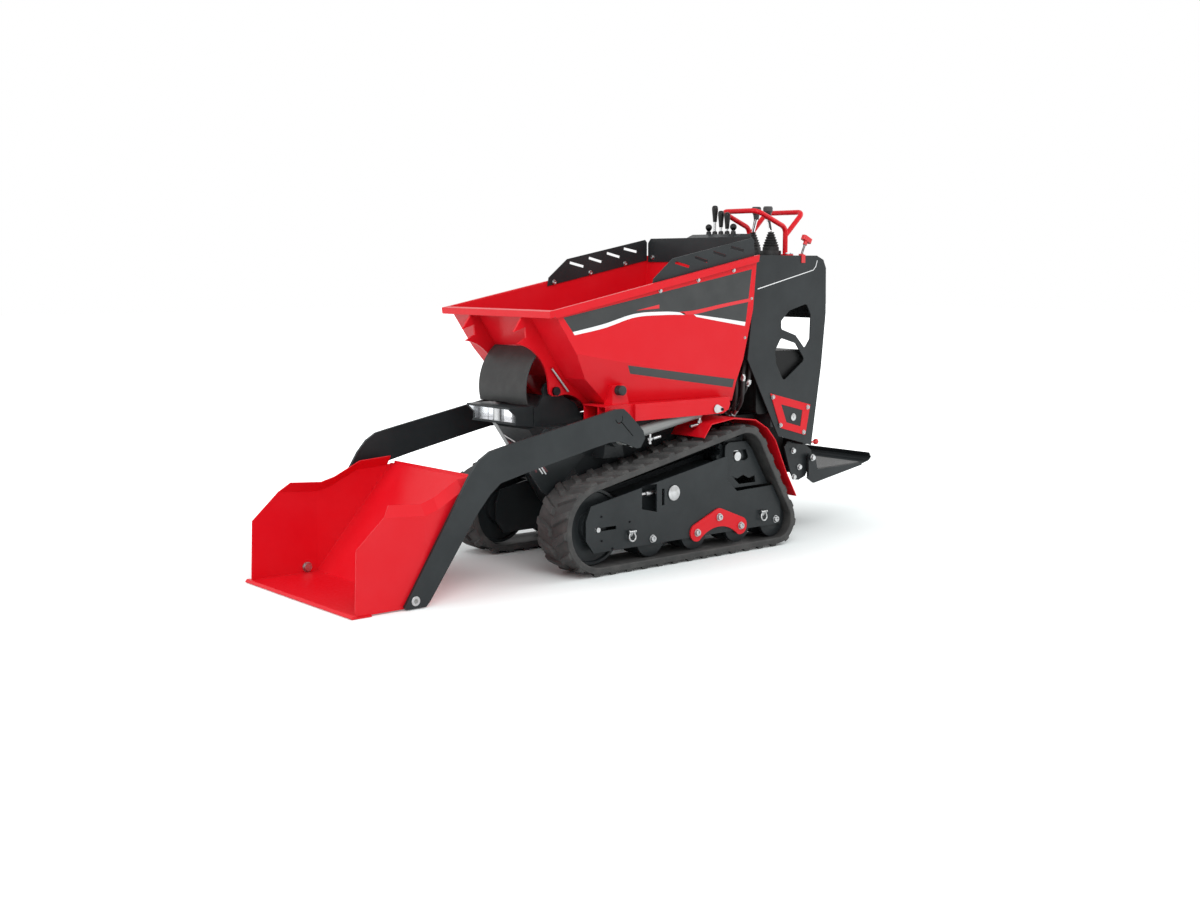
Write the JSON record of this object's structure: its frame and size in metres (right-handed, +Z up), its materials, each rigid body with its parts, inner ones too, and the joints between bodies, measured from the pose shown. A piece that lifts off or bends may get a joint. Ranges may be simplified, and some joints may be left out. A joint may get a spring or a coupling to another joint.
{
  "type": "tracked mini dumper with front loading shovel",
  "caption": "Rubber-tracked mini dumper: low front shovel on lifting arms, front-tipping skip, side console with levers and handlebar, and a fold-down platform at the rear.",
  "frame": {"origin": "on the ground, in the middle of the length and width", "axes": "+X towards the shovel, +Y the machine's left, +Z up"},
  "size_m": [2.8097, 0.78, 1.428],
  "materials": {
    "red_paint": "semi-gloss powder coat",
    "dark_paint": "satin anthracite powder coat",
    "grey_paint": "satin light grey paint",
    "track_rubber": "matt moulded rubber",
    "bright_steel": "zinc-plated steel",
    "cast_metal": "dark painted casting",
    "black_plastic": "moulded black plastic",
    "red_plastic": "moulded red nylon",
    "tread_grit": "anti-slip grit mat"
  },
  "bodies": {
    "chassis": {"chassis_frame": "dark_paint", "hinge_tower": "dark_paint", "skip_hinge_pins": "bright_steel", "front_bracket": "dark_paint", "bracket_lining": "bright_steel", "engine_block": "cast_metal", "oil_tank": "black_plastic", "fuel_tank": "black_plastic", "console_panels": "dark_paint", "console_shell": "dark_paint", "console_feet": "dark_paint", "platform_mount": "dark_paint", "lever_dash": "dark_paint", "access_plates": "red_paint", "lever_bank": "black_plastic", "handlebar": "red_paint", "throttle_pull": "red_plastic", "latch_knobs": "red_plastic", "track_left": "track_rubber", "track_right": "track_rubber", "track_frame_left": "dark_paint", "track_frame_right": "dark_paint", "road_rollers": "dark_paint", "idler_wheels": "dark_paint", "drive_sprockets": "dark_paint", "sprocket_guards": "dark_paint", "rocker_plates": "red_paint", "fenders": "red_paint"},
    "loader": {"loader_arm_left": "dark_paint", "loader_arm_right": "dark_paint", "arm_shaft": "bright_steel", "shovel_shell": "red_paint", "cutting_edge": "red_paint", "shovel_bolts": "bright_steel"},
    "skip": {"skip_tub": "red_paint", "skip_rails": "red_paint", "skip_fittings": "bright_steel", "skip_gussets": "red_paint", "rubber_buffers": "track_rubber", "skip_boards": "dark_paint", "rubber_flap": "track_rubber"},
    "platform": {"platform_tray": "dark_paint", "platform_mat": "tread_grit"},
    "lever_left": {"drive_lever_left": "black_plastic", "lever_bellows_left": "track_rubber"},
    "lever_right": {"drive_lever_right": "black_plastic", "lever_bellows_right": "track_rubber"},
    "barrel_left": {"tip_barrel_left": "grey_paint"},
    "barrel_right": {"tip_barrel_right": "grey_paint"},
    "rod_left": {"tip_rod_left": "bright_steel"},
    "rod_right": {"tip_rod_right": "bright_steel"}
  },
  "joints": [
    {"name": "arms_lift", "type": "hinge", "parent": "chassis", "child": "loader", "pos_m": [0.153, 0, 0.515], "axis": [0, -1, 0], "range_deg": [0, 100]},
    {"name": "skip_tip", "type": "hinge", "parent": "chassis", "child": "skip", "pos_m": [0.372, 0, 0.695], "axis": [0, -1, 0], "range_deg": [-70, 0], "deforming": ["rubber_flap"]},
    {"name": "platform_fold", "type": "hinge", "parent": "chassis", "child": "platform", "pos_m": [-1, 0, 0.332], "axis": [0, 1, 0], "range_deg": [0, 88]},
    {"name": "drive_lever_left", "type": "hinge", "parent": "chassis", "child": "lever_left", "pos_m": [-0.928, 0.055, 1.225], "axis": [0, 1, 0], "range_deg": [-15, 15]},
    {"name": "drive_lever_right", "type": "hinge", "parent": "chassis", "child": "lever_right", "pos_m": [-0.928, -0.055, 1.225], "axis": [0, 1, 0], "range_deg": [-15, 15]},
    {"name": "barrel_turn_left", "type": "hinge", "parent": "chassis", "child": "barrel_left", "pos_m": [0.153, 0.318, 0.515], "axis": [0, -1, 0], "range_deg": [-75, 1]},
    {"name": "rod_slide_left", "type": "slide", "parent": "barrel_left", "child": "rod_left", "axis": [-0.9849, 0, 0.1732], "range_m": [-0.001, 0.33]},
    {"name": "barrel_turn_right", "type": "hinge", "parent": "chassis", "child": "barrel_right", "pos_m": [0.153, -0.318, 0.515], "axis": [0, -1, 0], "range_deg": [-75, 1]},
    {"name": "rod_slide_right", "type": "slide", "parent": "barrel_right", "child": "rod_right", "axis": [-0.9849, 0, 0.1732], "range_m": [-0.001, 0.33]}
  ],
  "couplings": [
    {"joint": "barrel_turn_left", "follows": "skip_tip", "ratio": 1.0324},
    {"joint": "rod_slide_left", "follows": "skip_tip", "m_per_rad": -0.2654},
    {"joint": "barrel_turn_right", "follows": "skip_tip", "ratio": 1.0324},
    {"joint": "rod_slide_right", "follows": "skip_tip", "m_per_rad": -0.2654}
  ]
}
